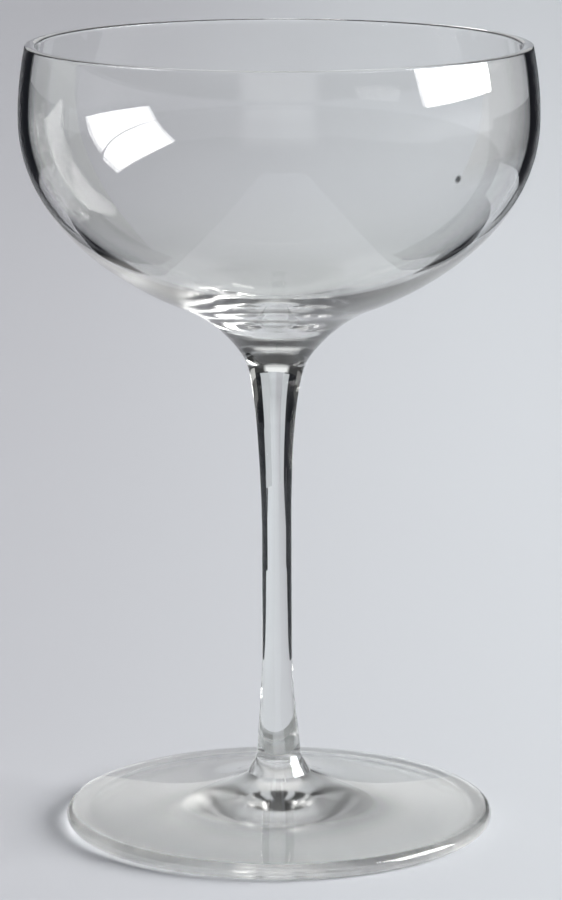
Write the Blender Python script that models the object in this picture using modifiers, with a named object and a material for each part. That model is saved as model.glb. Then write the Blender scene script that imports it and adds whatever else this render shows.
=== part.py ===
"""Sherbet glass: a blown bowl, a drawn stem and a spread foot, fused one on another.

All sizes are in metres, +Z is up, and the glass stands on z = 0 with its axis on Z.
Each gather of glass is a turned profile with its own origin at its lower joint.
"""

from math import cos, pi, radians, sin

import bpy
from mathutils import Vector
from mathutils.geometry import interpolate_bezier

# Bowl
BOWL_HEIGHT = 0.05775          # lower joint to the top of the lip
BELLY_DIAMETER = 0.0950        # widest place, outside
BELLY_BELOW_LIP = 0.01335
LIP_DIAMETER = 0.0923          # outside, at the drawn-in mouth
LIP_RISE = 0.0003              # of the low round on top of the wall
BELLY_WALL = 0.0019            # kept from the lip to well below the belly
TURN_WALL = 0.0029
BASE_THICKNESS = 0.0079        # solid glass under the inner bottom, on the axis
TURN_DIAMETER = 0.0357         # outside, where the round underside starts to hollow
TURN_HEIGHT = 0.00967          # the same place, above the lower joint
TURN_SLOPE = radians(21.6)     # of the underside there, from the horizontal

# Stem
STEM_LENGTH = 0.0739
NECK_DIAMETER = 0.01194        # joint with the bowl
NECK_FLARE = radians(32.2)     # of the side at that joint, from the vertical
WAIST_DIAMETER = 0.00558
WAIST_TOP = 0.0420             # above the stem's lower joint
WAIST_BOTTOM = 0.0200
HEEL_DIAMETER = 0.00804        # joint with the foot
HEEL_FLARE = radians(4.0)

# Foot
FOOT_DIAMETER = 0.0797
EDGE_THICKNESS = 0.0030
HUB_HEIGHT = 0.00435
HUB_DIAMETER = 0.0117          # at its base, on the disc
DISC_HEIGHT = 0.0093           # of the hub's base above the table
DISC_SLOPE = radians(25.0)     # of the disc's top beside the hub
DISC_EDGE_SLOPE = radians(5.6)  # of the disc's top beside its rounded edge
REST_WIDTH = 0.0020            # flat ring that touches the table
HOLLOW_HEIGHT = 0.0026         # of the underside, on the axis

# Fit
FUSE_GAP = 0.0003              # kept between two gathers

# Fullness of the curves, as shares of the span that each one crosses
BELLY_PULL = 0.523
UNDERSIDE_PULL = 0.472
HOLLOW_PULL = 0.523
NECK_PULL = 0.348
STEM_PULL = 0.177
WAIST_PULL = 0.05
BOTTOM_PULL = 0.48
CENTRE_PULL = 0.30
HEEL_PULL = 0.40
DISC_PULL = 0.24
EDGE_PULL = 0.50
WALL_GROWTH = 3                # power: the wall thickens late on its way to the turn

# Facets
TURN_STEPS = 64
CURVE_POINTS = 7
LONG_CURVE_POINTS = 11
ROUND_POINTS = 4               # in a quarter turn
LIP_POINTS = 7

GLASS_TINT = (0.93, 0.95, 0.93, 1.0)
GLASS_ROUGHNESS = 0.02
GLASS_IOR = 1.5


def clear_scene():
    """Remove whatever the file holds."""
    for old in list(bpy.data.objects):
        bpy.data.objects.remove(old, do_unlink=True)


def curve(start, start_pull, end_pull, end, count=CURVE_POINTS):
    """Points of a smooth curve in the (radius, height) plane, both ends included."""
    points = interpolate_bezier(start, start + start_pull, end + end_pull, end, count)
    return [Vector((p[0], p[1])) for p in points]


def arc(centre, radius, from_angle, to_angle, count=ROUND_POINTS):
    """Points of a circular arc in the (radius, height) plane, both ends included."""
    points = []
    for i in range(count):
        angle = from_angle + (to_angle - from_angle) * i / (count - 1)
        points.append(centre + radius * Vector((cos(angle), sin(angle))))
    return points


def join_runs(*runs):
    """One outline from runs of points, without the points that two runs share."""
    outline = []
    for run in runs:
        for point in run:
            if not outline or (point - outline[-1]).length > FUSE_GAP / 100:
                outline.append(point)
    return outline


def wall_curve(belly, turn):
    """Belly down to the turn of the underside, on the outside."""
    belly_pull = Vector((0.0, -BELLY_PULL * (belly.y - turn.y)))
    along = Vector((cos(TURN_SLOPE), sin(TURN_SLOPE)))
    turn_pull = along * UNDERSIDE_PULL * (belly.x - turn.x)
    return curve(belly, belly_pull, turn_pull, turn, LONG_CURVE_POINTS)


def inner_side(outer_wall):
    """The inside of that wall, square across it at every point."""
    points = []
    last = len(outer_wall) - 1
    for i, point in enumerate(outer_wall):
        run = outer_wall[min(i + 1, last)] - outer_wall[max(i - 1, 0)]
        if i == 0:
            run = Vector((0.0, -1.0))
        if i == last:
            run = -Vector((cos(TURN_SLOPE), sin(TURN_SLOPE)))
        run.normalize()
        wall = BELLY_WALL + (TURN_WALL - BELLY_WALL) * (i / last) ** WALL_GROWTH
        points.append(point + wall * Vector((run.y, -run.x)))
    return points


def drawn_in(belly, lip, count=CURVE_POINTS):
    """Belly up to the mouth: upright at the belly, leaning in more and more above it."""
    points = []
    for i in range(count):
        share = i / (count - 1)
        radius = belly.x + (lip.x - belly.x) * share ** 2
        points.append(Vector((radius, belly.y + (lip.y - belly.y) * share)))
    return points


def bowl_outline():
    """From the middle of the inner bottom, over the lip, to the middle of the joint."""
    belly_height = BOWL_HEIGHT - BELLY_BELOW_LIP
    half_wall = BELLY_WALL / 2
    lip_centre = Vector((LIP_DIAMETER / 2 - half_wall, BOWL_HEIGHT - LIP_RISE))
    outer_lip = lip_centre + Vector((half_wall, 0.0))
    outer_belly = Vector((BELLY_DIAMETER / 2, belly_height))

    along = Vector((cos(TURN_SLOPE), sin(TURN_SLOPE)))
    across = Vector((-sin(TURN_SLOPE), cos(TURN_SLOPE)))
    outer_turn = Vector((TURN_DIAMETER / 2, TURN_HEIGHT))
    inner_turn = outer_turn + across * TURN_WALL
    bottom = Vector((0.0, BASE_THICKNESS))
    neck = Vector((NECK_DIAMETER / 2, 0.0))
    flare = Vector((sin(NECK_FLARE), cos(NECK_FLARE)))

    inner_base = curve(
        bottom,
        Vector((CENTRE_PULL * inner_turn.x, 0.0)),
        -along * BOTTOM_PULL * inner_turn.x,
        inner_turn,
    )
    outer_wall = wall_curve(outer_belly, outer_turn)
    inner_wall = list(reversed(inner_side(outer_wall)))
    outer_mouth = drawn_in(outer_belly, outer_lip)
    inner_mouth = [point - Vector((BELLY_WALL, 0.0)) for point in outer_mouth]
    outer_mouth.reverse()
    lip = []
    for i in range(LIP_POINTS):
        angle = pi - pi * i / (LIP_POINTS - 1)
        lip.append(lip_centre + Vector((half_wall * cos(angle), LIP_RISE * sin(angle))))
    hollow = curve(
        outer_turn,
        -along * HOLLOW_PULL * (outer_turn.x - neck.x),
        flare * NECK_PULL * outer_turn.y,
        neck,
    )
    joint = [Vector((0.0, 0.0))]
    return join_runs(inner_base, inner_wall, inner_mouth, lip, outer_mouth, outer_wall, hollow, joint)


def stem_outline():
    """From the middle of the upper joint, down the side, to the middle of the lower one."""
    neck = Vector((NECK_DIAMETER / 2, STEM_LENGTH))
    waist_top = Vector((WAIST_DIAMETER / 2, WAIST_TOP))
    waist_bottom = Vector((WAIST_DIAMETER / 2, WAIST_BOTTOM))
    heel = Vector((HEEL_DIAMETER / 2, 0.0))
    draw = neck.y - waist_top.y

    upper_draw = curve(
        neck,
        -Vector((sin(NECK_FLARE), cos(NECK_FLARE))) * STEM_PULL * draw,
        Vector((0.0, WAIST_PULL * draw)),
        waist_top,
        LONG_CURVE_POINTS,
    )
    lower_draw = curve(
        waist_bottom,
        Vector((0.0, -HEEL_PULL * waist_bottom.y)),
        Vector((-sin(HEEL_FLARE), cos(HEEL_FLARE))) * HEEL_PULL * waist_bottom.y,
        heel,
    )
    upper_joint = [Vector((0.0, STEM_LENGTH))]
    lower_joint = [Vector((0.0, 0.0))]
    return join_runs(upper_joint, upper_draw, lower_draw, lower_joint)


def foot_outline():
    """From the middle of the hub's top, over disc and edge, to the middle of the hollow."""
    hub_top = Vector((HEEL_DIAMETER / 2, DISC_HEIGHT + HUB_HEIGHT))
    hub_base = Vector((HUB_DIAMETER / 2, DISC_HEIGHT))
    edge_round = EDGE_THICKNESS / 2
    edge_centre = Vector((FOOT_DIAMETER / 2 - edge_round, edge_round))
    disc_lean = Vector((sin(DISC_EDGE_SLOPE), cos(DISC_EDGE_SLOPE)))
    disc_edge = edge_centre + disc_lean * edge_round
    disc_span = disc_edge.x - hub_base.x

    hub = curve(
        hub_top,
        Vector((0.0, -HUB_HEIGHT / 3)),
        (hub_top - hub_base) / 3,
        hub_base,
    )
    disc = curve(
        hub_base,
        Vector((cos(DISC_SLOPE), -sin(DISC_SLOPE))) * DISC_PULL * disc_span,
        Vector((-cos(DISC_EDGE_SLOPE), sin(DISC_EDGE_SLOPE))) * EDGE_PULL * disc_span,
        disc_edge,
        LONG_CURVE_POINTS,
    )
    upper_edge = arc(edge_centre, edge_round, pi / 2 - DISC_EDGE_SLOPE, 0.0)
    lower_edge = arc(edge_centre, edge_round, 0.0, -pi / 2)
    rest_inside = Vector((edge_centre.x - REST_WIDTH, 0.0))
    underside = []
    for i in range(CURVE_POINTS):
        share = 1.0 - i / (CURVE_POINTS - 1)
        underside.append(Vector((rest_inside.x * share, HOLLOW_HEIGHT * (1.0 - share ** 2))))
    top = [Vector((0.0, hub_top.y))]
    return join_runs(top, hub, disc, upper_edge, lower_edge, underside)


def glass_material(name):
    """Clear glass with a faint grey-green cast."""
    material = bpy.data.materials.new(name)
    material.use_nodes = True
    shader = material.node_tree.nodes["Principled BSDF"]
    shader.inputs["Base Color"].default_value = GLASS_TINT
    shader.inputs["Roughness"].default_value = GLASS_ROUGHNESS
    shader.inputs["Metallic"].default_value = 0.0
    shader.inputs["IOR"].default_value = GLASS_IOR
    shader.inputs["Transmission Weight"].default_value = 1.0
    return material


def turned(name, outline, height, collection, parent):
    """Spin an outline about the axis and stand the piece at its height on the axis."""
    mesh = bpy.data.meshes.new(name)
    edges = [(i, i + 1) for i in range(len(outline) - 1)]
    mesh.from_pydata([(p.x, 0.0, p.y) for p in outline], edges, [])
    mesh.materials.append(glass_material(name + "_glass"))
    piece = bpy.data.objects.new(name, mesh)
    piece.location = (0.0, 0.0, height)
    piece.parent = parent
    collection.objects.link(piece)

    spin = piece.modifiers.new("Spin", "SCREW")
    spin.axis = "Z"
    spin.angle = 2 * pi
    spin.steps = TURN_STEPS
    spin.render_steps = TURN_STEPS
    spin.use_smooth_shade = True
    spin.use_merge_vertices = True
    spin.merge_threshold = 0.000001
    return piece


def build():
    """Stand the stem on the foot's hub and the bowl on the stem."""
    clear_scene()
    collection = bpy.data.collections.new("sherbet_glass")
    bpy.context.scene.collection.children.link(collection)
    base = bpy.data.objects.new("sherbet_glass_base", None)
    collection.objects.link(base)

    stem_height = DISC_HEIGHT + HUB_HEIGHT + FUSE_GAP
    bowl_height = stem_height + STEM_LENGTH + FUSE_GAP
    turned("foot", foot_outline(), 0.0, collection, base)
    turned("stem", stem_outline(), stem_height, collection, base)
    turned("bowl", bowl_outline(), bowl_height, collection, base)
    print("glass height", round(bowl_height + BOWL_HEIGHT, 5))


build()
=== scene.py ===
# %% [markdown]
# A stemmed sherbet glass is three gathers of clear glass that a glassworker joins hot: a blown
# bowl, a drawn stem and a spread foot. The solid model comes in first, as a frame that stays
# where it is. Every piece made below is finer than its solid and takes its place.

# %% Load the solid model
from math import cos, pi, radians, sin, tan

import bpy
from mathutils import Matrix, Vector
from mathutils.geometry import interpolate_bezier


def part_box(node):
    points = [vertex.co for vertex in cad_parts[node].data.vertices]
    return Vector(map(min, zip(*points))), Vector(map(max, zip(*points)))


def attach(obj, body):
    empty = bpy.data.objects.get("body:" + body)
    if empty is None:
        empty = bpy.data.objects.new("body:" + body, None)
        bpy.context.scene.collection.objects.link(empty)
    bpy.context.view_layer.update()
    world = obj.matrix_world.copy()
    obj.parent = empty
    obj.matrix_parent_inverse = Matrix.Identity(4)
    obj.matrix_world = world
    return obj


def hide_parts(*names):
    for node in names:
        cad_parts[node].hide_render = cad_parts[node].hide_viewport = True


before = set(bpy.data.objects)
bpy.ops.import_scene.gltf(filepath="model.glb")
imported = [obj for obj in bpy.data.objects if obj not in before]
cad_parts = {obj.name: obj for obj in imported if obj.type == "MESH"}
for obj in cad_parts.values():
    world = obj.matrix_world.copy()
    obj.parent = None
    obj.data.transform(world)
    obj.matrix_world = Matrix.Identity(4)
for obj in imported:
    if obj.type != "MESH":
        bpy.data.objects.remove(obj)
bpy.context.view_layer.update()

for node_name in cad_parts:
    lowest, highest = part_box(node_name)
    print(node_name, "from", round(lowest.z * 1000, 2), "to", round(highest.z * 1000, 2), "mm")

# %% [markdown]
# The camera looks a little down on the glass, so that the mouth and the foot show as flat
# ellipses. How flat they are gives the angle, and how much flatter the mouth is than the foot
# gives the distance. A long lens from less than a metre away fits both ellipses.

# %% Set the camera
PICTURE_HEIGHT = 900
CAMERA_AWAY = 0.747
CAMERA_HEIGHT = 0.2244
CAMERA_ASIDE = 0.00035
CAMERA_LOOKS_DOWN = radians(11.63)
LENS_IN_PIXELS = 4126.0
SENSOR_WIDTH = 36.0

camera_data = bpy.data.cameras.new("photo_camera")
camera_data.sensor_width = SENSOR_WIDTH
camera_data.lens = SENSOR_WIDTH * LENS_IN_PIXELS / PICTURE_HEIGHT
camera = bpy.data.objects.new("photo_camera", camera_data)
camera.location = (CAMERA_ASIDE, -CAMERA_AWAY, CAMERA_HEIGHT)
camera.rotation_euler = (pi / 2 - CAMERA_LOOKS_DOWN, 0.0, 0.0)
bpy.context.scene.collection.objects.link(camera)
bpy.context.scene.camera = camera
print("lens", round(camera_data.lens, 1), "mm")

# %% [markdown]
# A turned piece is known by its outline: half of the shape that shows if the glass is sawn
# through along its axis. Points of the outline are (radius, height). Long runs are Bezier
# curves and rolled edges are arcs, because hot glass flows into curves and has no corners.

# %% Helpers for outlines
SAME_POINT = 0.000002


def curve(start, start_pull, end_pull, end, count):
    """Points of a smooth run from start to end, both included."""
    points = interpolate_bezier(start, start + start_pull, end + end_pull, end, count)
    return [Vector((p[0], p[1])) for p in points]


def arc(centre, radius, from_angle, to_angle, count):
    """Points of a rolled edge, both ends included."""
    points = []
    for i in range(count):
        angle = from_angle + (to_angle - from_angle) * i / (count - 1)
        points.append(centre + radius * Vector((cos(angle), sin(angle))))
    return points


def join_runs(*runs):
    """One outline out of runs of points, without the points that two runs share."""
    outline = []
    for run in runs:
        for point in run:
            if not outline or (point - outline[-1]).length > SAME_POINT:
                outline.append(point)
    return outline


def along(slope):
    """One step outwards and upwards at that slope."""
    return Vector((cos(slope), sin(slope)))


print("one step along a slope of 45 degrees:", along(radians(45.0)))

# %% [markdown]
# The lathe, the finishes and the sky are all node trees. A node tree built in a script is mostly
# sockets that take either a number or another node's output, so one helper does both, and a few
# more make the nodes that come up again and again.

# %% Helpers for node trees
def add_node(tree, kind, **settings):
    """A new node with some of its settings."""
    node = tree.nodes.new(kind)
    for key, value in settings.items():
        setattr(node, key, value)
    return node


def feed(tree, socket, value):
    """Link a socket to another node's output, or set it to a plain value."""
    if isinstance(value, bpy.types.NodeSocket):
        tree.links.new(value, socket)
    else:
        socket.default_value = value


def maths(tree, operation, *values):
    """The result of one sum."""
    node = add_node(tree, "ShaderNodeMath", operation=operation)
    for socket, value in zip(node.inputs, values):
        feed(tree, socket, value)
    return node.outputs[0]


def ranged(tree, value, start, end, low, high, ease="LINEAR"):
    """A value stretched from the range start to end over the range low to high."""
    node = add_node(tree, "ShaderNodeMapRange", interpolation_type=ease)
    feed(tree, node.inputs["Value"], value)
    feed(tree, node.inputs["From Min"], start)
    feed(tree, node.inputs["From Max"], end)
    feed(tree, node.inputs["To Min"], low)
    feed(tree, node.inputs["To Max"], high)
    return node.outputs["Result"]


def between(tree, share, first, second):
    """A number that share of the way from the first to the second."""
    node = add_node(tree, "ShaderNodeMix")
    feed(tree, node.inputs["Factor"], share)
    feed(tree, node.inputs["A"], first)
    feed(tree, node.inputs["B"], second)
    return node.outputs["Result"]


def blended(tree, share, first, second):
    """A colour that share of the way from the first to the second."""
    factor, colour_a, colour_b, colour = 0, 6, 7, 2
    node = add_node(tree, "ShaderNodeMix", data_type="RGBA")
    feed(tree, node.inputs[factor], share)
    feed(tree, node.inputs[colour_a], first)
    feed(tree, node.inputs[colour_b], second)
    return node.outputs[colour]


def own_place(tree):
    """Where a point lies on its own piece, as a vector and as its three parts."""
    place = add_node(tree, "ShaderNodeTexCoord").outputs["Object"]
    parts = add_node(tree, "ShaderNodeSeparateXYZ")
    tree.links.new(place, parts.inputs[0])
    return place, parts.outputs


def distance_out(tree, place):
    """How far a point lies from the origin of its piece."""
    away = add_node(tree, "ShaderNodeVectorMath", operation="LENGTH")
    tree.links.new(place, away.inputs[0])
    return away.outputs["Value"]


def new_finish(name):
    """A finish and its tree, with the usual shader in it."""
    finish = bpy.data.materials.new(name)
    finish.use_nodes = True
    return finish, finish.node_tree


def bare_finish(name):
    """A finish and its tree, with no shader in it."""
    finish, tree = new_finish(name)
    tree.nodes.remove(tree.nodes["Principled BSDF"])
    return finish, tree


print("node helpers ready for Blender", bpy.app.version_string)

# %% [markdown]
# The tree below is the lathe. It takes an outline as a row of points, lays a grid with one
# column for each step of the turn, and puts each column of the grid where the outline stands
# after that part of the turn. A Screw modifier also turns an outline. The tree adds the slight
# unevenness of hand work: the radius drifts by a few hundredths of a millimetre, read from a
# noise in space, so that the inside and the outside of a wall drift together and fit each other.

# %% Build the lathe
SEAM_MERGE = 0.000001
ON_JOINT = 0.6


def lathe_tree():
    """Node tree that turns a row of points about Z, with named inputs."""
    tree = bpy.data.node_groups.new("turned_glass", "GeometryNodeTree")
    tree.is_modifier = True
    face = tree.interface
    face.new_socket("Outline", in_out="INPUT", socket_type="NodeSocketGeometry")
    for name, kind, value in (
        ("Turn Steps", "NodeSocketInt", 192),
        ("Drift", "NodeSocketFloat", 0.0008),
        ("Drift Scale", "NodeSocketFloat", 14.0),
        ("Seed", "NodeSocketInt", 7),
        ("Crease Angle", "NodeSocketFloat", radians(38.0)),
    ):
        face.new_socket(name, in_out="INPUT", socket_type=kind).default_value = value
    face.new_socket("Glass", in_out="INPUT", socket_type="NodeSocketMaterial")
    face.new_socket("Joint", in_out="INPUT", socket_type="NodeSocketMaterial")
    face.new_socket("Piece", in_out="OUTPUT", socket_type="NodeSocketGeometry")

    def add(kind, **settings):
        return add_node(tree, kind, **settings)

    def math(operation, *values):
        return maths(tree, operation, *values)

    link = tree.links.new
    given = add("NodeGroupInput").outputs
    done = add("NodeGroupOutput")

    count = add("GeometryNodeAttributeDomainSize", component="MESH")
    link(given["Outline"], count.inputs["Geometry"])
    points = count.outputs["Point Count"]

    grid = add("GeometryNodeMeshGrid")
    link(math("ADD", given["Turn Steps"], 1), grid.inputs["Vertices X"])
    link(points, grid.inputs["Vertices Y"])

    index = add("GeometryNodeInputIndex").outputs[0]
    column = math("FLOOR", math("DIVIDE", math("ADD", index, 0.5), points))
    row = math("SUBTRACT", index, math("MULTIPLY", column, points))
    angle = math("MULTIPLY", math("DIVIDE", column, given["Turn Steps"]), 2 * pi)

    where = add("GeometryNodeInputPosition").outputs[0]
    sample = add("GeometryNodeSampleIndex", data_type="FLOAT_VECTOR", domain="POINT")
    link(given["Outline"], sample.inputs["Geometry"])
    link(where, sample.inputs["Value"])
    link(row, sample.inputs["Index"])
    turn = add("ShaderNodeVectorRotate", rotation_type="Z_AXIS")
    link(sample.outputs["Value"], turn.inputs["Vector"])
    link(angle, turn.inputs["Angle"])

    noise = add("ShaderNodeTexNoise", noise_dimensions="4D")
    noise.inputs["Detail"].default_value = 0.0
    link(turn.outputs["Vector"], noise.inputs["Vector"])
    link(given["Drift Scale"], noise.inputs["Scale"])
    link(given["Seed"], noise.inputs["W"])
    drift = math("MULTIPLY", math("SUBTRACT", noise.outputs[0], 0.5), given["Drift"])
    widen = math("ADD", math("MULTIPLY", drift, 2.0), 1.0)
    scale = add("ShaderNodeCombineXYZ")
    link(widen, scale.inputs["X"])
    link(widen, scale.inputs["Y"])
    scale.inputs["Z"].default_value = 1.0
    drifted = add("ShaderNodeVectorMath", operation="MULTIPLY")
    link(turn.outputs["Vector"], drifted.inputs[0])
    link(scale.outputs[0], drifted.inputs[1])

    place = add("GeometryNodeSetPosition")
    link(grid.outputs["Mesh"], place.inputs["Geometry"])
    link(drifted.outputs[0], place.inputs["Position"])

    at_joint = add("GeometryNodeInputNamedAttribute", data_type="FLOAT")
    at_joint.inputs["Name"].default_value = "joint"
    sample_joint = add("GeometryNodeSampleIndex", data_type="FLOAT", domain="POINT")
    link(given["Outline"], sample_joint.inputs["Geometry"])
    link(at_joint.outputs["Attribute"], sample_joint.inputs["Value"])
    link(row, sample_joint.inputs["Index"])
    keep_joint = add("GeometryNodeStoreNamedAttribute", data_type="FLOAT", domain="POINT")
    keep_joint.inputs["Name"].default_value = "joint"
    link(place.outputs["Geometry"], keep_joint.inputs["Geometry"])
    link(sample_joint.outputs["Value"], keep_joint.inputs["Value"])

    merge = add("GeometryNodeMergeByDistance")
    merge.inputs["Distance"].default_value = SEAM_MERGE
    link(keep_joint.outputs["Geometry"], merge.inputs["Geometry"])
    flip = add("GeometryNodeFlipFaces")
    link(merge.outputs["Geometry"], flip.inputs["Mesh"])

    smooth = add("GeometryNodeSetShadeSmooth", domain="FACE")
    link(flip.outputs["Mesh"], smooth.inputs["Geometry"])
    bend = add("GeometryNodeInputMeshEdgeAngle")
    creased = add("FunctionNodeCompare", data_type="FLOAT", operation="GREATER_THAN")
    link(bend.outputs["Unsigned Angle"], creased.inputs[0])
    link(given["Crease Angle"], creased.inputs[1])
    crease = add("GeometryNodeSetShadeSmooth", domain="EDGE")
    crease.inputs["Shade Smooth"].default_value = False
    link(smooth.outputs["Geometry"], crease.inputs["Geometry"])
    link(creased.outputs["Result"], crease.inputs["Selection"])

    real = add("GeometryNodeRealizeInstances")
    link(crease.outputs["Geometry"], real.inputs["Geometry"])
    clear = add("GeometryNodeSetMaterial")
    link(real.outputs["Geometry"], clear.inputs["Geometry"])
    link(given["Glass"], clear.inputs["Material"])
    inside = add("GeometryNodeInputNamedAttribute", data_type="FLOAT")
    inside.inputs["Name"].default_value = "joint"
    on_joint = add("FunctionNodeCompare", data_type="FLOAT", operation="GREATER_THAN")
    link(inside.outputs["Attribute"], on_joint.inputs[0])
    on_joint.inputs[1].default_value = ON_JOINT
    joint = add("GeometryNodeSetMaterial")
    link(clear.outputs["Geometry"], joint.inputs["Geometry"])
    link(on_joint.outputs["Result"], joint.inputs["Selection"])
    link(given["Joint"], joint.inputs["Material"])
    link(joint.outputs["Geometry"], done.inputs["Piece"])
    return tree


turned_glass = lathe_tree()
print("lathe tree with", len(turned_glass.nodes), "nodes")

# %% [markdown]
# A stem drawn by hand is seldom quite straight. This one bows to the left by little more than
# half a millimetre, while the foot and the bowl stand true. The bow could be a Simple Deform
# modifier. Here each point of the turned mesh moves aside by what its height asks for, because
# then the three pieces bow together and still meet at their joints.

# %% Helper that bows the stem
HEEL_LEAN = -0.00035
HEEL_LEAN_STARTS = 0.010
HEEL_LEAN_FULL = 0.028
NECK_LEAN = -0.00028
NECK_LEAN_STARTS = 0.045
NECK_LEAN_FULL = 0.075
LEAN_FADES_FROM = 0.079
LEAN_ENDS = 0.104


def eased(low, high, value):
    """Share of the way from low to high, with a soft start and a soft stop."""
    share = min(max((value - low) / (high - low), 0.0), 1.0)
    return share * share * (3.0 - 2.0 * share)


def lean(height):
    """How far the drawn glass stands off the axis at that height."""
    heel = HEEL_LEAN * eased(HEEL_LEAN_STARTS, HEEL_LEAN_FULL, height)
    neck = NECK_LEAN * eased(NECK_LEAN_STARTS, NECK_LEAN_FULL, height)
    return (heel + neck) * eased(LEAN_ENDS, LEAN_FADES_FROM, height)


print("largest bow", round(lean(LEAN_FADES_FROM) * 1000, 2), "mm")

# %% [markdown]
# Turning a piece means giving its outline to the lathe, keeping what the modifier makes as a
# plain mesh, and taking the modifier off again. The volume that is printed is positive when all
# faces look outwards, so it is a quick test of the mesh as well as a size.

# %% Helper that turns a piece on the lathe
def turned(name, outline, joint_points, steps, glass, joint):
    """Turn an outline with the tree and keep the result as a plain mesh."""
    row = bpy.data.meshes.new(name + "_outline")
    links = [(i, i + 1) for i in range(len(outline) - 1)]
    row.from_pydata([(p.x, 0.0, p.y) for p in outline], links, [])
    marks = row.attributes.new("joint", "FLOAT", "POINT")
    for i in joint_points:
        marks.data[i].value = 1.0
    piece = bpy.data.objects.new(name, row)
    bpy.context.scene.collection.objects.link(piece)
    lathe = piece.modifiers.new("Lathe", "NODES")
    lathe.node_group = turned_glass
    values = {"Turn Steps": steps, "Glass": glass, "Joint": joint}
    for socket in turned_glass.interface.items_tree:
        if socket.in_out == "INPUT" and socket.name in values:
            lathe[socket.identifier] = values[socket.name]
    seen = bpy.context.evaluated_depsgraph_get()
    mesh = bpy.data.meshes.new_from_object(piece.evaluated_get(seen))
    mesh.name = name
    piece.modifiers.remove(lathe)
    piece.data = mesh
    bpy.data.meshes.remove(row)
    for vertex in mesh.vertices:
        vertex.co.x += lean(vertex.co.z)
    mesh.calc_loop_triangles()
    volume = 0.0
    for face in mesh.loop_triangles:
        a, b, c = [mesh.vertices[i].co for i in face.vertices]
        volume += a.dot(b.cross(c)) / 6
    print(name, len(mesh.loop_triangles), "triangles", round(volume * 1e6, 2), "cubic cm")
    return piece


print("pieces are turned with", turned_glass.name)

# %% [markdown]
# Old table glass is clear, with a breath of grey-green where it is thick. The shader is
# Principled with full transmission. Its tint is a little deeper where the outline is thick, and
# handling leaves faint patches that are not quite polished, so the roughness follows a noise.
# Below a given height the tools have left the surface a little duller. One dark speck sits in
# the bowl. Where two gathers meet, the glass is one body: the faces inside a joint let light
# straight through.

# %% Glass finishes
GLASS_IOR = 1.52
SMUDGE_SCALE = 46.0
SMUDGE_DETAIL = 4.0
SMUDGE_STARTS = 0.52
SMUDGE_FULL = 0.78
SMUDGE_ROUGHNESS = 0.06
SPECK_COLOUR = (0.03, 0.03, 0.03, 1.0)
SPECK_CORE = 0.6               # share of the speck that is fully dark
BOWL_SPECK = ((0.0309, -0.0330, 0.1258), 0.00105)
# Height below which the tools dulled the glass, how fast that fades in, and the roughness.
NOT_TOOLED = (0.0, 0.0001, 0.0)
BOWL_TOOLED = (0.1015, 0.004, 0.08)
FOOT_TOOLED = (0.0027, 0.0001, 0.12)


def glass_finish(name, thin_tint, thick_tint, thin_at, thick_at, specks=(), tooled=NOT_TOOLED):
    """Clear glass, tinted deeper towards the height thick_at. A speck is its place and its size."""
    finish, tree = new_finish(name)
    shader = tree.nodes["Principled BSDF"]
    shader.inputs["IOR"].default_value = GLASS_IOR
    shader.inputs["Transmission Weight"].default_value = 1.0
    shader.inputs["Metallic"].default_value = 0.0

    place, parts = own_place(tree)
    thick = ranged(tree, parts["Z"], thin_at, thick_at, 0.0, 1.0, "SMOOTHSTEP")
    colour = blended(tree, thick, thin_tint, thick_tint)
    for speck_place, speck_size in specks:
        away = add_node(tree, "ShaderNodeVectorMath", operation="DISTANCE")
        away.inputs[1].default_value = speck_place
        tree.links.new(place, away.inputs[0])
        dark = ranged(tree, away.outputs["Value"], speck_size * SPECK_CORE, speck_size, 1.0, 0.0)
        colour = blended(tree, dark, colour, SPECK_COLOUR)
    tree.links.new(colour, shader.inputs["Base Color"])

    smudge = add_node(tree, "ShaderNodeTexNoise")
    smudge.inputs["Scale"].default_value = SMUDGE_SCALE
    smudge.inputs["Detail"].default_value = SMUDGE_DETAIL
    tree.links.new(place, smudge.inputs["Vector"])
    dull = ranged(tree, smudge.outputs["Fac"], SMUDGE_STARTS, SMUDGE_FULL, 0.0, SMUDGE_ROUGHNESS)
    below, fade, roughness = tooled
    worn = ranged(tree, parts["Z"], below - fade, below, roughness, 0.0)
    tree.links.new(maths(tree, "MAXIMUM", dull, worn), shader.inputs["Roughness"])
    return finish


def joint_finish():
    """Faces inside a joint: light goes straight through from one gather to the next."""
    finish, tree = bare_finish("fused_joint")
    through = add_node(tree, "ShaderNodeBsdfTransparent")
    tree.links.new(through.outputs[0], tree.nodes["Material Output"].inputs["Surface"])
    return finish


fused_joint = joint_finish()
bowl_clear = glass_finish(
    "bowl_clear", thin_tint=(0.975, 0.977, 0.975, 1.0), thick_tint=(0.95, 0.955, 0.93, 1.0),
    thin_at=0.115, thick_at=0.100, specks=(BOWL_SPECK,), tooled=BOWL_TOOLED,
)
stem_clear = glass_finish(
    "stem_clear", thin_tint=(0.97, 0.98, 0.97, 1.0), thick_tint=(0.96, 0.97, 0.95, 1.0),
    thin_at=0.07, thick_at=0.09,
)
foot_clear = glass_finish(
    "foot_clear", thin_tint=(0.995, 0.995, 0.967, 1.0), thick_tint=(0.985, 0.985, 0.965, 1.0),
    thin_at=0.004, thick_at=0.010, tooled=FOOT_TOOLED,
)
print("finishes", bowl_clear.name, stem_clear.name, foot_clear.name)

# %% [markdown]
# The foot is a disc spread from its own small gather. It is thick at the hub, falls away in a
# long hollow curve, and ends in a rolled edge. Its underside is a shallow hollow, so that the
# glass stands on a ring near the edge. The stem was stuck on the hub, which leaves a crease.

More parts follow.
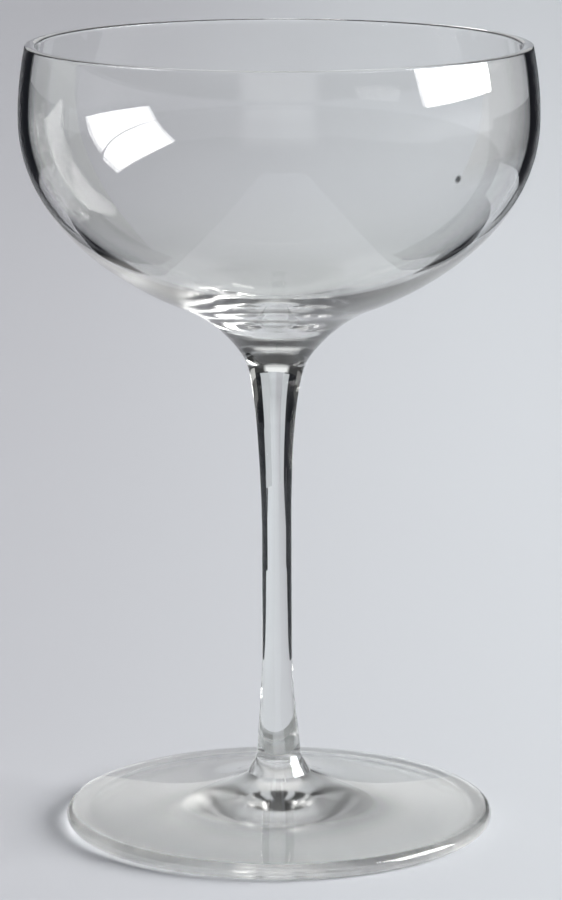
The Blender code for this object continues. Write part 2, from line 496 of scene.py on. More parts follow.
# %% Turn the foot
FUSE_GAP = 0.00001
FOOT_RADIUS = 0.03985
EDGE_ROUND = 0.0015
HUB_TOP = 0.01365
HEEL_RADIUS = 0.00402
HUB_RADIUS = 0.00585
HUB_DROP = 0.00145
DISC_HEIGHT = 0.0093
DISC_SLOPE = radians(25.0)
DISC_EDGE_SLOPE = radians(5.6)
DISC_PULL = 0.24
EDGE_PULL = 0.50
REST_WIDTH = 0.0020
HOLLOW_HEIGHT = 0.0026
HUB_POINTS = 16
DISC_POINTS = 60
EDGE_POINTS = 28
UNDERSIDE_POINTS = 30
FOOT_TURN_STEPS = 256

hub_top = Vector((HEEL_RADIUS, HUB_TOP))
hub_base = Vector((HUB_RADIUS, DISC_HEIGHT))
edge_centre = Vector((FOOT_RADIUS - EDGE_ROUND, EDGE_ROUND))
disc_edge = edge_centre + EDGE_ROUND * Vector((sin(DISC_EDGE_SLOPE), cos(DISC_EDGE_SLOPE)))
disc_span = disc_edge.x - hub_base.x
rest_inside = edge_centre.x - REST_WIDTH

hub_run = curve(hub_top, Vector((0.0, -HUB_DROP)), (hub_top - hub_base) / 3, hub_base, HUB_POINTS)
disc_run = curve(
    hub_base,
    along(-DISC_SLOPE) * DISC_PULL * disc_span,
    -along(-DISC_EDGE_SLOPE) * EDGE_PULL * disc_span,
    disc_edge,
    DISC_POINTS,
)
edge_run = arc(edge_centre, EDGE_ROUND, pi / 2 - DISC_EDGE_SLOPE, -pi / 2, EDGE_POINTS)
underside_run = []
for i in range(UNDERSIDE_POINTS):
    share = 1.0 - i / (UNDERSIDE_POINTS - 1)
    underside_run.append(Vector((rest_inside * share, HOLLOW_HEIGHT * (1.0 - share ** 2))))
foot_outline = join_runs([Vector((0.0, HUB_TOP))], hub_run, disc_run, edge_run, underside_run)
foot = turned("foot", foot_outline, (0, 1), FOOT_TURN_STEPS, foot_clear, fused_joint)

# %% [markdown]
# The stem is a solid rod, drawn while hot: wide where it leaves the bowl, thinnest in the middle
# and a little wider again at its heel. A solid rod of glass is a lens. It turns what stands
# behind it round, which is why its sides show what lies far out to the other side.

# %% Turn the stem
STEM_BOTTOM = HUB_TOP + FUSE_GAP
STEM_TOP = 0.08800
NECK_RADIUS = 0.00597
NECK_FLARE = radians(32.2)
WAIST_RADIUS = 0.00279
WAIST_TOP = 0.05595
WAIST_BOTTOM = 0.03395
HEEL_FLARE = radians(4.0)
STEM_PULL = 0.177
WAIST_PULL = 0.05
HEEL_PULL = 0.40
UPPER_STEM_POINTS = 70
LOWER_STEM_POINTS = 40
STEM_TURN_STEPS = 128

neck = Vector((NECK_RADIUS, STEM_TOP))
waist_top = Vector((WAIST_RADIUS, WAIST_TOP))
waist_bottom = Vector((WAIST_RADIUS, WAIST_BOTTOM))
heel = Vector((HEEL_RADIUS, STEM_BOTTOM))
draw = neck.y - waist_top.y
swell = waist_bottom.y - heel.y
upper_run = curve(
    neck,
    -Vector((sin(NECK_FLARE), cos(NECK_FLARE))) * STEM_PULL * draw,
    Vector((0.0, WAIST_PULL * draw)),
    waist_top,
    UPPER_STEM_POINTS,
)
lower_run = curve(
    waist_bottom,
    Vector((0.0, -HEEL_PULL * swell)),
    Vector((-sin(HEEL_FLARE), cos(HEEL_FLARE))) * HEEL_PULL * swell,
    heel,
    LOWER_STEM_POINTS,
)
stem_outline = join_runs(
    [Vector((0.0, STEM_TOP))], upper_run, lower_run, [Vector((0.0, STEM_BOTTOM))]
)
last = len(stem_outline) - 1
stem = turned("stem", stem_outline, (0, 1, last - 1, last), STEM_TURN_STEPS, stem_clear, fused_joint)

# %% [markdown]
# The bowl is blown: its wall keeps one thickness from the lip to well below the belly, grows
# towards the turn of the underside, and the glass is solid above the joint. The wall leans in a
# little above the belly. A Solidify modifier gives one thickness everywhere, so both sides of
# the wall are drawn here. The outline runs from the middle of the inner bottom up the inside,
# over the fire-polished lip and down the outside to the joint.

# %% Helpers for the bowl's wall
BELLY_WALL = 0.0019
TURN_WALL = 0.0029
TURN_SLOPE = radians(21.6)
THICKENING = 3                 # power: the wall thickens late on its way to the turn
BELLY_PULL = 0.523
UNDERSIDE_PULL = 0.472


def wall_run(belly, turn, count):
    """Belly down to the turn of the underside."""
    fall = Vector((0.0, -BELLY_PULL * (belly.y - turn.y)))
    return curve(belly, fall, along(TURN_SLOPE) * UNDERSIDE_PULL * (belly.x - turn.x), turn, count)


def inside_of(outer_run):
    """The inside of a wall: as thin as at the belly for most of the way, thicker at the turn."""
    points = []
    for i, point in enumerate(outer_run):
        before = outer_run[max(i - 1, 0)]
        after = outer_run[min(i + 1, len(outer_run) - 1)]
        run = (after - before).normalized()
        share = i / (len(outer_run) - 1)
        if i == 0:
            run = Vector((0.0, -1.0))
        if i == len(outer_run) - 1:
            run = -along(TURN_SLOPE)
        wall = BELLY_WALL + (TURN_WALL - BELLY_WALL) * share ** THICKENING
        points.append(point + wall * Vector((run.y, -run.x)))
    return points


def mouth_run(belly, lip, count):
    """Belly up to the lip, leaning in more and more."""
    points = []
    for i in range(count):
        share = i / (count - 1)
        radius = belly.x + (lip.x - belly.x) * share ** 2
        points.append(Vector((radius, belly.y + (lip.y - belly.y) * share)))
    return points


print("wall from", BELLY_WALL * 1000, "to", TURN_WALL * 1000, "mm")

# %% Turn the bowl
BOWL_BOTTOM = STEM_TOP + FUSE_GAP
LIP_TOP = 0.1459
LIP_RISE = 0.0003
LIP_RADIUS = 0.04615
BELLY_RADIUS = 0.0475
BELLY_HEIGHT = 0.13255
TURN_RADIUS = 0.01785
TURN_HEIGHT = 0.09782
INNER_BOTTOM = 0.09605
CENTRE_PULL = 0.30
BOTTOM_PULL = 0.48
HOLLOW_PULL = 0.523
NECK_PULL = 0.348
LIP_POINTS = 19
MOUTH_POINTS = 22
WALL_POINTS = 44
BASE_POINTS = 20
HOLLOW_POINTS = 30
BOWL_TURN_STEPS = 256

lip_centre = Vector((LIP_RADIUS - BELLY_WALL / 2, LIP_TOP - LIP_RISE))
outer_lip = lip_centre + Vector((BELLY_WALL / 2, 0.0))
outer_belly = Vector((BELLY_RADIUS, BELLY_HEIGHT))
outer_turn = Vector((TURN_RADIUS, TURN_HEIGHT))
inner_turn = outer_turn + TURN_WALL * Vector((-sin(TURN_SLOPE), cos(TURN_SLOPE)))
bowl_neck = Vector((NECK_RADIUS, BOWL_BOTTOM))

base_run = curve(
    Vector((0.0, INNER_BOTTOM)),
    Vector((CENTRE_PULL * inner_turn.x, 0.0)),
    -along(TURN_SLOPE) * BOTTOM_PULL * inner_turn.x,
    inner_turn,
    BASE_POINTS,
)
outer_mouth_run = mouth_run(outer_belly, outer_lip, MOUTH_POINTS)
inner_mouth_run = [point - Vector((BELLY_WALL, 0.0)) for point in outer_mouth_run]
outer_mouth_run.reverse()
lip_run = []
for i in range(LIP_POINTS):
    angle = pi - pi * i / (LIP_POINTS - 1)
    lip_run.append(lip_centre + Vector((BELLY_WALL / 2 * cos(angle), LIP_RISE * sin(angle))))
outer_wall_run = wall_run(outer_belly, outer_turn, WALL_POINTS)
inner_wall_run = list(reversed(inside_of(outer_wall_run)))
hollow_run = curve(
    outer_turn,
    -along(TURN_SLOPE) * HOLLOW_PULL * (outer_turn.x - bowl_neck.x),
    Vector((sin(NECK_FLARE), cos(NECK_FLARE))) * NECK_PULL * (outer_turn.y - bowl_neck.y),
    bowl_neck,
    HOLLOW_POINTS,
)
bowl_outline = join_runs(
    base_run, inner_wall_run, inner_mouth_run, lip_run, outer_mouth_run, outer_wall_run,
    hollow_run, [Vector((0.0, BOWL_BOTTOM))],
)
last = len(bowl_outline) - 1
bowl = turned("bowl", bowl_outline, (last - 1, last), BOWL_TURN_STEPS, bowl_clear, fused_joint)

# %% [markdown]
# The floor is a plain pale sheet that sweeps up to a low wall far outside every camera, so that
# no horizon line cuts through the glass. It is turned as the glass is, from a short outline. Its
# paper has painted light and shade: a little lighter to the right, where the window is, and
# painted darker far off to the right and far away.

# %% Paper for the floor
FLOOR_ROUGHNESS = 0.9
FLOOR_GLOSS = 0.1
FLOOR_GRAIN_SCALE = 9.0
FLOOR_GRAIN = 0.06
# Painted light and shade: the paper turns from darker on the left to lighter on the right.
FLOOR_SHADE_LEFT = -0.11
FLOOR_SHADE_RIGHT = 0.09
FLOOR_PAINTED_SHADE_TONE = (0.51, 0.515, 0.55, 1.0)
FLOOR_PAINTED_LIGHT_TONE = (0.63, 0.655, 0.69, 1.0)
# Painted shade: the paper is made darker far off to the right and far away.
RIGHT_PAINTED_SHADE_STARTS = 0.2
RIGHT_PAINTED_SHADE_ENDS = 0.9
RIGHT_PAINTED_SHADE = 0.74
FAR_PAINTED_SHADE_STARTS = 0.2
FAR_PAINTED_SHADE_ENDS = 1.4
FAR_PAINTED_SHADE = 0.92


def floor_finish():
    """Pale matt paper with a little grain, and painted light and shade: a soft change from darker on
    the left to lighter on the right, and darker far off to the right and far away.
    """
    finish, tree = new_finish("pale_floor")
    shader = tree.nodes["Principled BSDF"]
    shader.inputs["Roughness"].default_value = FLOOR_ROUGHNESS
    shader.inputs["Specular IOR Level"].default_value = FLOOR_GLOSS
    place, parts = own_place(tree)
    grain = add_node(tree, "ShaderNodeTexNoise")
    grain.inputs["Scale"].default_value = FLOOR_GRAIN_SCALE
    tree.links.new(place, grain.inputs["Vector"])
    # Painted light: the paper grows lighter towards the window on the right; the grain is real.
    aside = ranged(tree, parts["X"], FLOOR_SHADE_LEFT, FLOOR_SHADE_RIGHT, 0.0, 1.0, "SMOOTHSTEP")
    grain_and_painted_light = maths(tree, "MULTIPLY_ADD", grain.outputs["Fac"], FLOOR_GRAIN, aside)
    tone = blended(tree, grain_and_painted_light, FLOOR_PAINTED_SHADE_TONE, FLOOR_PAINTED_LIGHT_TONE)
    # Painted shade: darker far off to the right and far away.
    right = ranged(tree, parts["X"], RIGHT_PAINTED_SHADE_STARTS, RIGHT_PAINTED_SHADE_ENDS, 1.0, RIGHT_PAINTED_SHADE, "SMOOTHSTEP")
    away = distance_out(tree, place)
    far = ranged(tree, away, FAR_PAINTED_SHADE_STARTS, FAR_PAINTED_SHADE_ENDS, 1.0, FAR_PAINTED_SHADE, "SMOOTHSTEP")
    tone_with_painted_shade = add_node(tree, "ShaderNodeVectorMath", operation="SCALE")
    tree.links.new(tone, tone_with_painted_shade.inputs[0])
    tree.links.new(maths(tree, "MULTIPLY", right, far), tone_with_painted_shade.inputs["Scale"])
    tree.links.new(tone_with_painted_shade.outputs["Vector"], shader.inputs["Base Color"])
    return finish


pale_floor = floor_finish()
print("finish", pale_floor.name)

# %% Lay the floor
FLOOR_RADIUS = 2.3
FLOOR_LEVEL = -0.0001
FLOOR_RINGS = (0.3, 1.2)
SWEEP_RADIUS = 1.0
SWEEP_END = radians(-25)
SWEEP_POINTS = 24
SWEEP_STEPS = 96

sweep = [Vector((radius, FLOOR_LEVEL)) for radius in FLOOR_RINGS]
sweep_centre = Vector((FLOOR_RADIUS, FLOOR_LEVEL + SWEEP_RADIUS))
sweep += arc(sweep_centre, SWEEP_RADIUS, -pi / 2, SWEEP_END, SWEEP_POINTS)
floor_points = [(0.0, 0.0, FLOOR_LEVEL)]
for point in sweep:
    for i in range(SWEEP_STEPS):
        angle = 2 * pi * i / SWEEP_STEPS
        floor_points.append((point.x * cos(angle), point.x * sin(angle), point.y))
floor_faces = []
for i in range(SWEEP_STEPS):
    floor_faces.append((0, 1 + i, 1 + (i + 1) % SWEEP_STEPS))
for ring in range(len(sweep) - 1):
    low = 1 + ring * SWEEP_STEPS
    for i in range(SWEEP_STEPS):
        j = (i + 1) % SWEEP_STEPS
        floor_faces.append((low + i, low + SWEEP_STEPS + i, low + SWEEP_STEPS + j, low + j))
floor_mesh = bpy.data.meshes.new("floor")
floor_mesh.from_pydata(floor_points, [], floor_faces)
floor_mesh.materials.append(pale_floor)
floor_mesh.shade_smooth()
floor = bpy.data.objects.new("floor", floor_mesh)
bpy.context.scene.collection.objects.link(floor)
print("floor", 2 * (FLOOR_RADIUS + SWEEP_RADIUS), "m across")

# %% [markdown]
# Clear glass has no colour of its own: what it shows is its surroundings. So the sky does two
# jobs. On the floor it is an even, soft light. In the glass it is a dim room, with a pale haze
# low down in front and behind, and a little more light just above the horizon. Light Path's
# Diffuse Depth tells the two apart: it counts diffuse bounces, and only a ray that gathers light
# for the floor has one.

# %% Sky
SKY_COLOUR = (0.98, 0.99, 1.0, 1.0)
SKY_STRENGTH = 0.38
HAZE_STRENGTH = 0.62
ROOM_STRENGTH = 0.05
HORIZON_EXTRA = 0.32
HORIZON_FULL = sin(radians(13.0))
HORIZON_ENDS = sin(radians(25.0))
HAZE_TOP = sin(radians(34.0))
ROOM_START = sin(radians(46.0))
BACK_ENDS = sin(radians(13.0))
SIDES_START = sin(radians(20.0))

sky = bpy.data.worlds.new("sky")
sky.use_nodes = True
sky_tree = sky.node_tree
sky_light = sky_tree.nodes["Background"]
sky_light.inputs["Color"].default_value = SKY_COLOUR
sky_path = add_node(sky_tree, "ShaderNodeLightPath").outputs
sky_place = add_node(sky_tree, "ShaderNodeTexCoord").outputs["Generated"]
sky_parts = add_node(sky_tree, "ShaderNodeSeparateXYZ")
sky_tree.links.new(sky_place, sky_parts.inputs[0])
upwards = sky_parts.outputs["Z"]
haze = ranged(sky_tree, upwards, ROOM_START, HAZE_TOP, 0.0, HAZE_STRENGTH - ROOM_STRENGTH, "SMOOTHSTEP")
horizon = ranged(sky_tree, upwards, HORIZON_ENDS, HORIZON_FULL, 0.0, HORIZON_EXTRA, "SMOOTHSTEP")
low_sky = maths(sky_tree, "ADD", haze, horizon)
sideways = maths(sky_tree, "ABSOLUTE", sky_parts.outputs["X"])
behind = ranged(sky_tree, sideways, SIDES_START, BACK_ENDS, 0.0, 1.0, "SMOOTHSTEP")
room = maths(sky_tree, "MULTIPLY_ADD", low_sky, behind, ROOM_STRENGTH)
sky_level = between(sky_tree, sky_path["Diffuse Depth"], room, SKY_STRENGTH)
sky_tree.links.new(sky_level, sky_light.inputs["Strength"])
bpy.context.scene.world = sky
print("sky strength on the floor", SKY_STRENGTH)

# %% [markdown]
# The dark lines along the sides of stemware are dark parts of its surroundings, bent by the
# glass. A photographer draws them with cards set round the glass, and so does this scene. The
# cards here are easier to place than real ones: the camera does not see them, they throw no
# shadow, and each can be left out of reflections or of what is seen through the glass.

# %% Helpers for panels and cards
def staged(name, points, faces, finish, reflected=True, looked_through=True, lights_floor=False):
    """A piece of the stage that the camera does not see, but the glass or the floor does."""
    mesh = bpy.data.meshes.new(name)
    mesh.from_pydata(points, [], faces)
    mesh.materials.append(finish)
    thing = bpy.data.objects.new(name, mesh)
    bpy.context.scene.collection.objects.link(thing)
    thing.visible_camera = False
    thing.visible_diffuse = lights_floor
    thing.visible_glossy = reflected
    thing.visible_transmission = looked_through
    thing.visible_shadow = False
    thing.visible_volume_scatter = False
    return thing


def flat_panel(name, corners, finish, **shown):
    """One flat piece of the stage with four corners."""
    return staged(name, corners, [(0, 1, 2, 3)], finish, **shown)


def emission(tree, colour, strength):
    """A shader that gives light."""
    light = add_node(tree, "ShaderNodeEmission")
    light.inputs["Color"].default_value = colour
    feed(tree, light.inputs["Strength"], strength)
    return light.outputs[0]


def see_through(tree):
    """A shader that lets every ray go on."""
    return add_node(tree, "ShaderNodeBsdfTransparent").outputs[0]


def show(tree, share, first, second):
    """Give the surface the first shader, with that share of the second in its place."""
    mix = add_node(tree, "ShaderNodeMixShader")
    for socket, value in zip(mix.inputs, (share, first, second)):
        tree.links.new(value, socket)
    tree.links.new(mix.outputs[0], tree.nodes["Material Output"].inputs["Surface"])


print("stage so far", floor.name)

# %% [markdown]
# One bright panel to the right makes both bright shapes on the bowl: it is reflected once by the
# outside of the wall on its own side, and once by the inside of the wall across the bowl. A second
# panel, farther off, lights the floor. A third counts only for light that reaches the floor
# through the glass, and keeps the glass's shadow light.

# %% Windows
WINDOW_COLOUR = (1.0, 0.995, 0.985, 1.0)
WINDOW = ((1.6, -0.716, 0.218), (1.6, 0.44, 0.19), (1.6, 0.44, 1.25), (1.6, -1.02, 1.25))
FLOOR_WINDOW = ((3.6, -1.9, 0.74), (3.6, 2.0, 0.74), (3.6, 2.0, 2.8), (3.6, -1.9, 2.8))
WINDOW_IN_GLASS = 20.0
WINDOW_ON_FLOOR = 9.0
FLOOR_LIGHT = 13.9
LIGHT_THROUGH_GLASS = 30.0


def glow(name, in_glass, on_floor):
    """Window light, with one strength in the glass and another on the floor."""
    finish, tree = bare_finish(name)
    floor_rays = add_node(tree, "ShaderNodeLightPath").outputs["Diffuse Depth"]
    light = emission(tree, WINDOW_COLOUR, between(tree, floor_rays, in_glass, on_floor))
    tree.links.new(light, tree.nodes["Material Output"].inputs["Surface"])
    return finish


def through_glow(name, strength):
    """Window light that reaches the floor through the glass, and is clear to all other rays."""
    finish, tree = bare_finish(name)
    floor_rays = add_node(tree, "ShaderNodeLightPath").outputs["Diffuse Depth"]
    show(tree, floor_rays, see_through(tree), emission(tree, WINDOW_COLOUR, strength))
    return finish


flat_panel("right_window", WINDOW, glow("window_glow", WINDOW_IN_GLASS, WINDOW_ON_FLOOR))
flat_panel(
    "window_light", FLOOR_WINDOW, glow("window_light", FLOOR_LIGHT, FLOOR_LIGHT),
    reflected=False, looked_through=False, lights_floor=True,
)
flat_panel(
    "window_through", FLOOR_WINDOW, through_glow("window_through", LIGHT_THROUGH_GLASS),
    reflected=False,
)
print("windows", WINDOW[0][0], "and", FLOOR_WINDOW[0][0], "m to the right")

# %% [markdown]
# A card has one plain level of light, and its finish asks Light Path about each ray. A ray that
# has gone through both walls of the bowl, or has only just started, goes on as if the card were
# not there. So the middle of the bowl stays clear while its edges and the stem turn dark. No real
# card can do that: these stand in for a room whose shape is not known.

# %% Finish of the cards
CARD_STARTS = 0.10
BOTH_WALLS = 2.5               # refractions: one wall or the stem makes 2, both walls make 4
FLOOR_RAY = 10.0               # added for a ray that lights the floor, so that it passes too
CARD_COLOUR = (0.75, 0.8, 1.0, 1.0)
BLACK_LEVEL = 0.014


def card_finish(name, colour, strength, one_sided=False):
    """A plain card that some rays pass by."""
    finish, tree = bare_finish(name)
    path = add_node(tree, "ShaderNodeLightPath").outputs
    count = maths(tree, "MULTIPLY_ADD", path["Diffuse Depth"], FLOOR_RAY, path["Transmission Depth"])
    deep = maths(tree, "GREATER_THAN", count, BOTH_WALLS)
    close = maths(tree, "LESS_THAN", path["Ray Length"], CARD_STARTS)
    passed = maths(tree, "MAXIMUM", deep, close)
    if one_sided:
        back = add_node(tree, "ShaderNodeNewGeometry").outputs["Backfacing"]
        passed = maths(tree, "MAXIMUM", passed, back)
    show(tree, passed, emission(tree, colour, strength), see_through(tree))
    return finish


black = card_finish("card_black", CARD_COLOUR, BLACK_LEVEL)
print("finish", black.name)

# %% [markdown]
# Reflections come first. In front of and behind the glass a strip of pale floor is left bare,
# which widens towards the back. Dark cards lie on both sides of it and across its front end. The
# edges of the strip follow a few points, and these cards show in reflections alone.

# %% Cards beside the strip
CARD_LIFT = 0.001
CARD_FAR = 1.3
STRIP_FRONT = -0.34
FRONT_CARD_HALF = 1.0
FRONT_CARD_END = -2.2
left_edge = (
    (-0.042, STRIP_FRONT), (-0.058, -0.083), (-0.063, -0.008), (-0.066, 0.051), (-0.080, 0.11),
    (-0.110, 0.195), (-0.130, 0.378), (-0.15, 0.6), (-0.20, 1.0), (-0.24, 1.3),
)
right_edge = (
    (0.067, STRIP_FRONT), (0.068, -0.076), (0.069, 0.0), (0.072, 0.05), (0.095, 0.123),
    (0.124, 0.186), (0.140, 0.372), (0.15, 0.6), (0.20, 1.0), (0.24, 1.3),
)


def side_card(name, edge, far):
    """A dark card on the floor from the strip's edge outwards."""
    points = []
    for x, y in edge:
        points += [(x, y, CARD_LIFT), (far, y, CARD_LIFT)]
    faces = [(2 * i, 2 * i + 1, 2 * i + 3, 2 * i + 2) for i in range(len(edge) - 1)]
    return staged(name, points, faces, black, looked_through=False)


side_card("card_left", left_edge, -CARD_FAR)
side_card("card_right", right_edge, CARD_FAR)
front_corners = (
    (-FRONT_CARD_HALF, STRIP_FRONT, CARD_LIFT),
    (-FRONT_CARD_HALF, FRONT_CARD_END, CARD_LIFT),
    (FRONT_CARD_HALF, FRONT_CARD_END, CARD_LIFT),
    (FRONT_CARD_HALF, STRIP_FRONT, CARD_LIFT),
)
flat_panel("card_front", front_corners, black, looked_through=False)
print("strip starts", -STRIP_FRONT, "m before the glass")

# %% [markdown]
# Refractions come next. What the stem and the edge of the bowl show lies beside and behind the
# glass, so dark sectors of floor there make their dark sides. One sector is left open, because a
# camera that stands higher would see it through the mouth of the bowl. A low fence stands nearer
# to the glass in its place.

# %% Helpers for shade and curved cards
CARD_END = 1.2
CARD_TURN = radians(4.0)       # turn of a curved card to one face
REACH_START = 0.03
REACH_STEP = 0.002


def strip_reach(edge, turn):
    """How far out from the glass the strip reaches at that turn from straight behind."""
    reach = REACH_START
    while reach < CARD_END:
        x = reach * sin(radians(turn))
        y = reach * cos(radians(turn))
        for (x0, y0), (x1, y1) in zip(edge, edge[1:]):
            if y0 <= y <= y1 and x > abs(x0 + (x1 - x0) * (y - y0) / (y1 - y0)):
                return reach
        reach += REACH_STEP
    return CARD_END


def shade_card(name, edge, side, from_turn, to_turn, near, far):
    """A dark sector of floor outside the strip, made a degree at a time."""
    points = []
    faces = []
    for turn in range(from_turn, to_turn):
        start = max(strip_reach(edge, turn), strip_reach(edge, turn + 1), near)
        if start < far:
            first = len(points)
            for angle, radius in ((turn, start), (turn, far), (turn + 1, far), (turn + 1, start)):
                away = radius * Vector((side * sin(radians(angle)), cos(radians(angle))))
                points.append((away.x, away.y, CARD_LIFT))
            faces.append((first, first + 1, first + 2, first + 3))
    return staged(name, points, faces, black, reflected=False)


def ring_card(name, from_turn, to_turn, start, end, finish, reflected=False, faces_down=False):
    """A card round the glass between two (radius, height). Turns count to the left from behind."""
    whole_turn = radians(to_turn) - radians(from_turn)
    steps = max(2, int(abs(whole_turn) / CARD_TURN))
    points = []
    for i in range(steps + 1):
        turn = radians(from_turn) + whole_turn * i / steps
        for radius, height in (start, end):
            points.append((-radius * sin(turn), radius * cos(turn), height))
    faces = [(2 * i, 2 * i + 2, 2 * i + 3, 2 * i + 1) for i in range(steps)]
    card = staged(name, points, faces, finish, reflected=reflected)
    if (card.data.polygons[0].normal.z < 0) != faces_down:
        card.data.flip_normals()
    return card


print("cards reach out to", CARD_END, "m")

# %% Shade on the floor
SIDE_FROM_TURN = 12
SIDE_TO_TURN = 75
OPEN_FROM_TURN = 28
OPEN_TO_TURN = 64
OPEN_NEAR = 0.235
OPEN_FAR = 0.42
FENCE_RADIUS = 0.12
FENCE_BOTTOM = 0.020
FENCE_TOP = 0.058
SHADES = (
    ("near", SIDE_FROM_TURN, SIDE_TO_TURN, 0.0, OPEN_NEAR),
    ("back", SIDE_FROM_TURN, OPEN_FROM_TURN, OPEN_NEAR, CARD_END),
    ("far", OPEN_FROM_TURN, OPEN_TO_TURN, OPEN_FAR, CARD_END),
    ("side", OPEN_TO_TURN, SIDE_TO_TURN, OPEN_NEAR, CARD_END),
)

fence_start = (FENCE_RADIUS, FENCE_BOTTOM)
fence_end = (FENCE_RADIUS, FENCE_TOP)
for ending, edge, side in (("left", left_edge, -1), ("right", right_edge, 1)):
    for place, from_turn, to_turn, near, far in SHADES:
        shade_card("shade_" + place + "_" + ending, edge, side, from_turn, to_turn, near, far)
    fence_turns = (-side * OPEN_FROM_TURN, -side * OPEN_TO_TURN)
    ring_card("fence_" + ending, *fence_turns, fence_start, fence_end, black)
print(len(SHADES), "sectors and a fence on each side")

# %% [markdown]
# Above the floor the same bands go on as walls, darker to the left and paler to the right, where
# the window is. Two level roofs over the floor show from below alone, by Geometry's Backfacing.

# %% Walls and roofs
ROOF_NEAR = 0.13
ROOF_HEIGHT = 0.07
# Name, turn from, turn to, top.
DARK_WALLS = (
    ("stand_left", 12, 40, 0.28),
    ("low_left", 40, 75, 0.10),
    ("stand_right", -12, -40, 0.28),
    ("low_right", -40, -75, 0.06),
)
# Name, turn from, turn to, bottom, top, level of light.
LIT_WALLS = (
    ("pale_wall", -40, -75, 0.22, 0.50, 0.6),
    ("dim_wall", -40, -75, 0.06, 0.22, 0.12),
    ("grey_wall", 40, 80, 0.20, 0.45, 0.22),
    ("dark_wall", 40, 80, 0.10, 0.20, 0.06),
)
# Name, turn from, turn to, level of light.
ROOFS = (
    ("roof_right", -36, -75, 1.4),
    ("roof_left", 36, 75, 0.33),
)

for name, from_turn, to_turn, top in DARK_WALLS:
    ring_card(name, from_turn, to_turn, (CARD_END, 0.0), (CARD_END, top), black, reflected=True)
for name, from_turn, to_turn, bottom, top, level in LIT_WALLS:
    finish = card_finish(name, WINDOW_COLOUR, level)
    ring_card(name, from_turn, to_turn, (CARD_END, bottom), (CARD_END, top), finish)
roof_start = (ROOF_NEAR, ROOF_HEIGHT)
roof_end = (CARD_END, ROOF_HEIGHT)
for name, from_turn, to_turn, level in ROOFS:
    finish = card_finish(name, WINDOW_COLOUR, level, one_sided=True)
    ring_card(name, from_turn, to_turn, roof_start, roof_end, finish, faces_down=True)
print(len(DARK_WALLS) + len(LIT_WALLS), "walls and", len(ROOFS), "roofs")

# %% [markdown]
# The stem has a light core between its dark sides, and the core widens near the bowl. Pale steps
# behind the stem keep it wide there: on each side a level sill seen from above, a back that
# stands at its far edge, a lid seen from below, and a second sill lower down.

# %% Sills
STRIP_COLOUR = (0.92, 0.955, 1.0, 1.0)
STRIP_LEVEL = 0.60
SILL_NEAR = 0.12
SILL_FAR = 0.20
SILL_HEIGHT = 0.060
SILL_BACK_TOP = 0.105
LID_NEAR = 0.06
LID_HEIGHT = 0.100
LOW_SILL_NEAR = 0.11
LOW_SILL_FAR = 0.30
LOW_SILL_HEIGHT = 0.045

strip_light = card_finish("strip_light", STRIP_COLOUR, STRIP_LEVEL, one_sided=True)
strip_back = card_finish("strip_back", STRIP_COLOUR, STRIP_LEVEL)
sill_start = (SILL_NEAR, SILL_HEIGHT)
sill_end = (SILL_FAR, SILL_HEIGHT)
back_top = (SILL_FAR, SILL_BACK_TOP)
lid_start = (LID_NEAR, LID_HEIGHT)
lid_end = (SILL_FAR, LID_HEIGHT)
low_start = (LOW_SILL_NEAR, LOW_SILL_HEIGHT)
low_end = (LOW_SILL_FAR, LOW_SILL_HEIGHT)
for name, from_turn, to_turn in (("sill_right", -10, -25), ("sill_left", 10, 20)):
    ring_card(name, from_turn, to_turn, sill_start, sill_end, strip_light)
    ring_card(name + "_back", from_turn, to_turn, sill_end, back_top, strip_back)
    ring_card(name + "_lid", from_turn, to_turn, lid_start, lid_end, strip_light, faces_down=True)
for name, from_turn, to_turn in (("low_sill_right", -10, -27), ("low_sill_left", 10, 20)):
    ring_card(name, from_turn, to_turn, low_start, low_end, strip_light)
print("sills", SILL_HEIGHT * 1000, "and", LOW_SILL_HEIGHT * 1000, "mm high")

# %% [markdown]
# Last comes what is seen through both walls of the bowl. The lower sides of the bowl are a soft
# grey with a pale V between them. Two sectors of floor behind the glass turn grey with the angle
# to the side, and their finish lets every ray pass but those through both walls.

# %% Dusk behind the bowl
DUSK_COLOUR = (0.96, 0.98, 1.0, 1.0)
DUSK_FROM_TURN = 8.0
DUSK_FULL_TURN = 26.0
DUSK_TO_TURN = 34.0
DUSK_STEPS = 19
DUSK_LIFT = 2 * CARD_LIFT
DUSK_TOP = 0.55
DUSK_FADES_OVER = 0.15
# Name, side, start, level of light next to the V, level at the side.
DUSKS = (
    ("dusk_left", -1, 0.32, 0.52, 0.25),
    ("dusk_right", 1, 0.60, 0.66, 0.27),
)


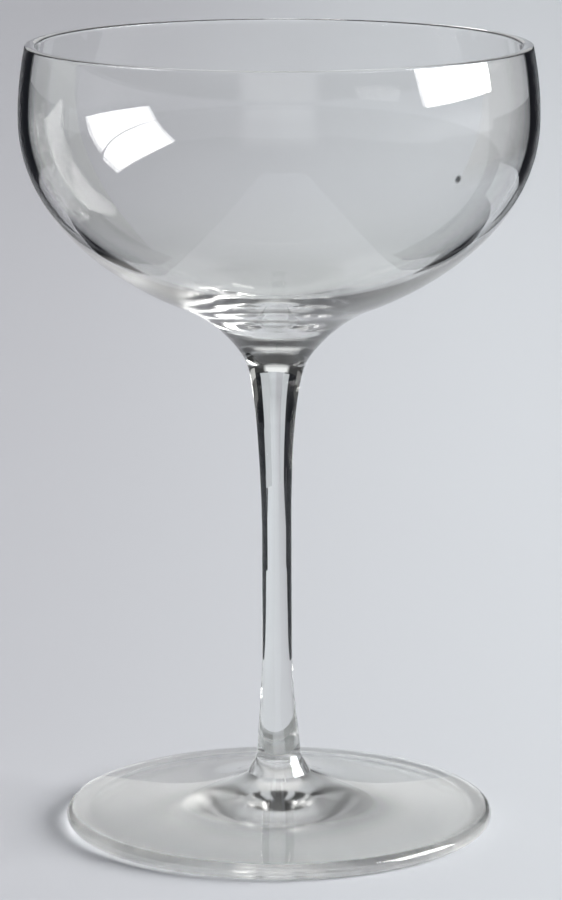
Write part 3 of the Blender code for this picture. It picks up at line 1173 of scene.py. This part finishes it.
def dusk_finish(name, start, near_level, far_level):
    """Grey that falls off to the side, for rays through both walls of the bowl alone."""
    finish, tree = bare_finish(name)
    place, parts = own_place(tree)
    slant = maths(tree, "DIVIDE", maths(tree, "ABSOLUTE", parts["X"]), parts["Y"])
    near = tan(radians(DUSK_FROM_TURN))
    full = tan(radians(DUSK_FULL_TURN))
    level = ranged(tree, slant, near, full, near_level, far_level, "SMOOTHERSTEP")
    path = add_node(tree, "ShaderNodeLightPath").outputs
    one_wall = maths(tree, "LESS_THAN", path["Transmission Depth"], BOTH_WALLS)
    skip = maths(tree, "MAXIMUM", one_wall, path["Diffuse Depth"])
    thin = ranged(tree, distance_out(tree, place), start, start + DUSK_FADES_OVER, 1.0, 0.0)
    clear = maths(tree, "MAXIMUM", skip, thin)
    show(tree, clear, emission(tree, DUSK_COLOUR, level), see_through(tree))
    return finish


def dusk_card(name, side, start, near_level, far_level):
    """A sector of floor behind the glass that rises at its far end."""
    points = []
    for i in range(DUSK_STEPS + 1):
        turn = radians(DUSK_FROM_TURN + (DUSK_TO_TURN - DUSK_FROM_TURN) * i / DUSK_STEPS)
        for radius, height in ((start, DUSK_LIFT), (CARD_END, DUSK_LIFT), (CARD_END, DUSK_TOP)):
            points.append((side * radius * sin(turn), radius * cos(turn), height))
    faces = []
    for i in range(DUSK_STEPS):
        for first in (3 * i, 3 * i + 1):
            faces.append((first, first + 1, first + 4, first + 3))
    finish = dusk_finish(name, start, near_level, far_level)
    return staged(name, points, faces, finish, reflected=False)


for dusk in DUSKS:
    dusk_card(*dusk)
print("dusk from", DUSK_FROM_TURN, "to", DUSK_TO_TURN, "degrees to each side")

# %% [markdown]
# Each finished piece rides on the one body of the glass and stands for its solid. Glass needs
# many bounces of light, or its thick parts turn black.

# %% Hand over the pieces
BOUNCES = 32

for piece, node_name, slot_name in (
    (bowl, "bowl", "bowl_glass"),
    (stem, "stem", "stem_glass"),
    (foot, "foot", "foot_glass"),
):
    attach(piece, "root")
    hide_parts(node_name)

bpy.context.scene.view_settings.view_transform = "Standard"
light_paths = bpy.context.scene.cycles
light_paths.max_bounces = BOUNCES
light_paths.blur_glossy = 0.0
light_paths.glossy_bounces = BOUNCES
light_paths.transmission_bounces = BOUNCES
light_paths.transparent_max_bounces = BOUNCES
